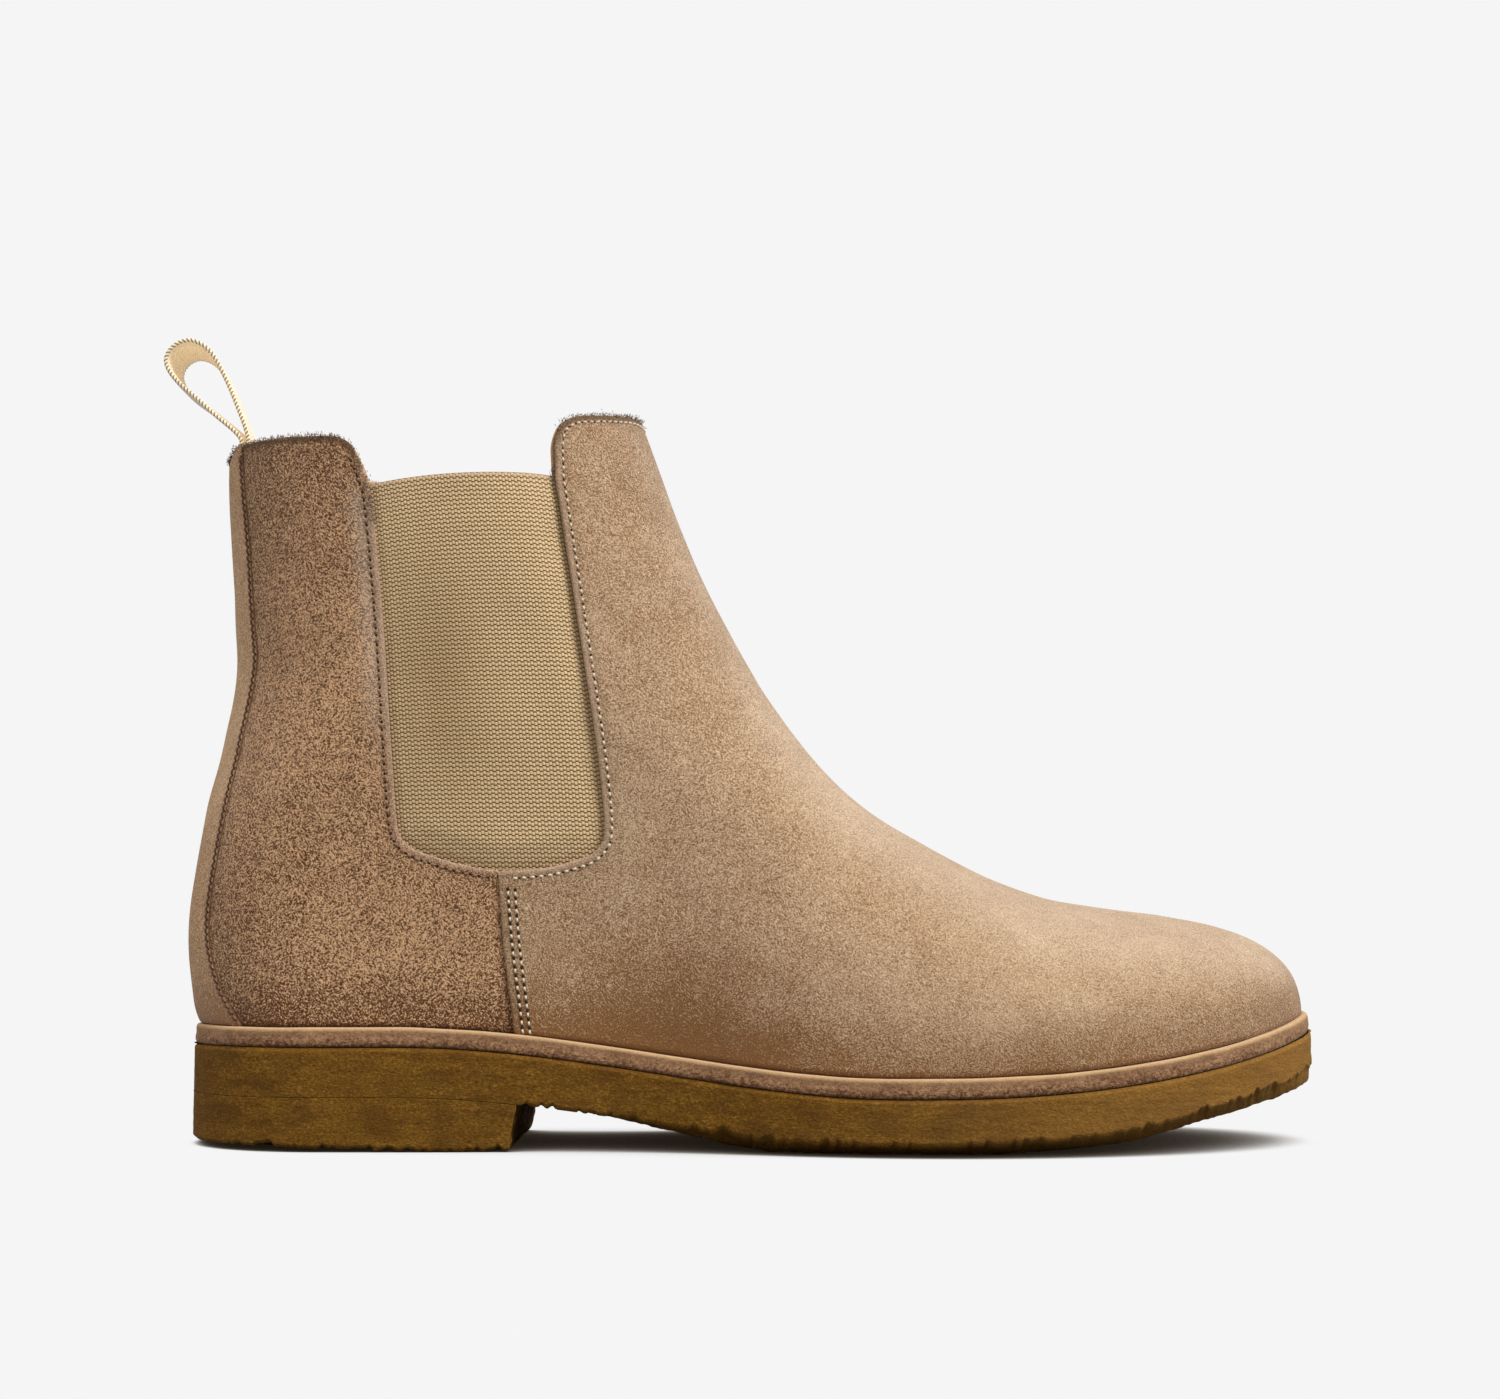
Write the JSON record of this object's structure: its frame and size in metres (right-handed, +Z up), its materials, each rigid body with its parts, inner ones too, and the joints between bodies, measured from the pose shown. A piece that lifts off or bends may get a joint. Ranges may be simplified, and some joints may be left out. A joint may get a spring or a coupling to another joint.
{
  "type": "chelsea boot",
  "caption": "Suede ankle boot for the right foot with elastic side gores, a webbing pull loop at the back, a wrapped rand and a crepe sole with a low heel block.",
  "frame": {"origin": "on the floor, under the middle of the boot's box", "axes": "+X from heel to toe, +Y towards the inner (big toe) side, +Z up"},
  "size_m": [0.3086, 0.1066, 0.2143],
  "materials": {
    "suede": "napped suede, matt",
    "suede_quarter": "napped suede, matt, the same hide in a slightly deeper shade",
    "elastic": "woven elastic webbing",
    "webbing": "cotton twill webbing",
    "lining": "smooth lining leather",
    "crepe": "raw plantation crepe, slightly translucent",
    "midsole_foam": "light foam board",
    "cork": "cork granulate",
    "fibreboard": "pressed fibre board",
    "stiffener": "resin-stiffened felt",
    "padding": "latex foam",
    "steel": "bare steel strip"
  },
  "bodies": {
    "boot": {"vamp": "suede", "quarter_outer": "suede_quarter", "quarter_inner": "suede_quarter", "backstay": "suede", "gore_outer": "elastic", "gore_inner": "elastic", "toe_puff": "stiffener", "heel_counter": "stiffener", "pull_tab_anchor": "webbing", "vamp_lining": "lining", "quarter_lining": "lining", "outsole": "crepe", "heel_block": "crepe", "rand": "suede_quarter", "midsole": "midsole_foam", "cork_filler": "cork", "shank": "steel", "insole_board": "fibreboard", "heel_pad": "padding", "sock_liner": "lining"},
    "pull_tab": {"pull_tab": "webbing"}
  },
  "joints": [
    {"name": "pull_tab_hinge", "type": "hinge", "parent": "boot", "child": "pull_tab", "pos_m": [-0.13254, 0.00028, 0.1878], "axis": [0, 1, 0], "range_deg": [-35, 95], "stiffness_Nm_per_rad": 0.004, "springref_deg": 2.01}
  ]
}
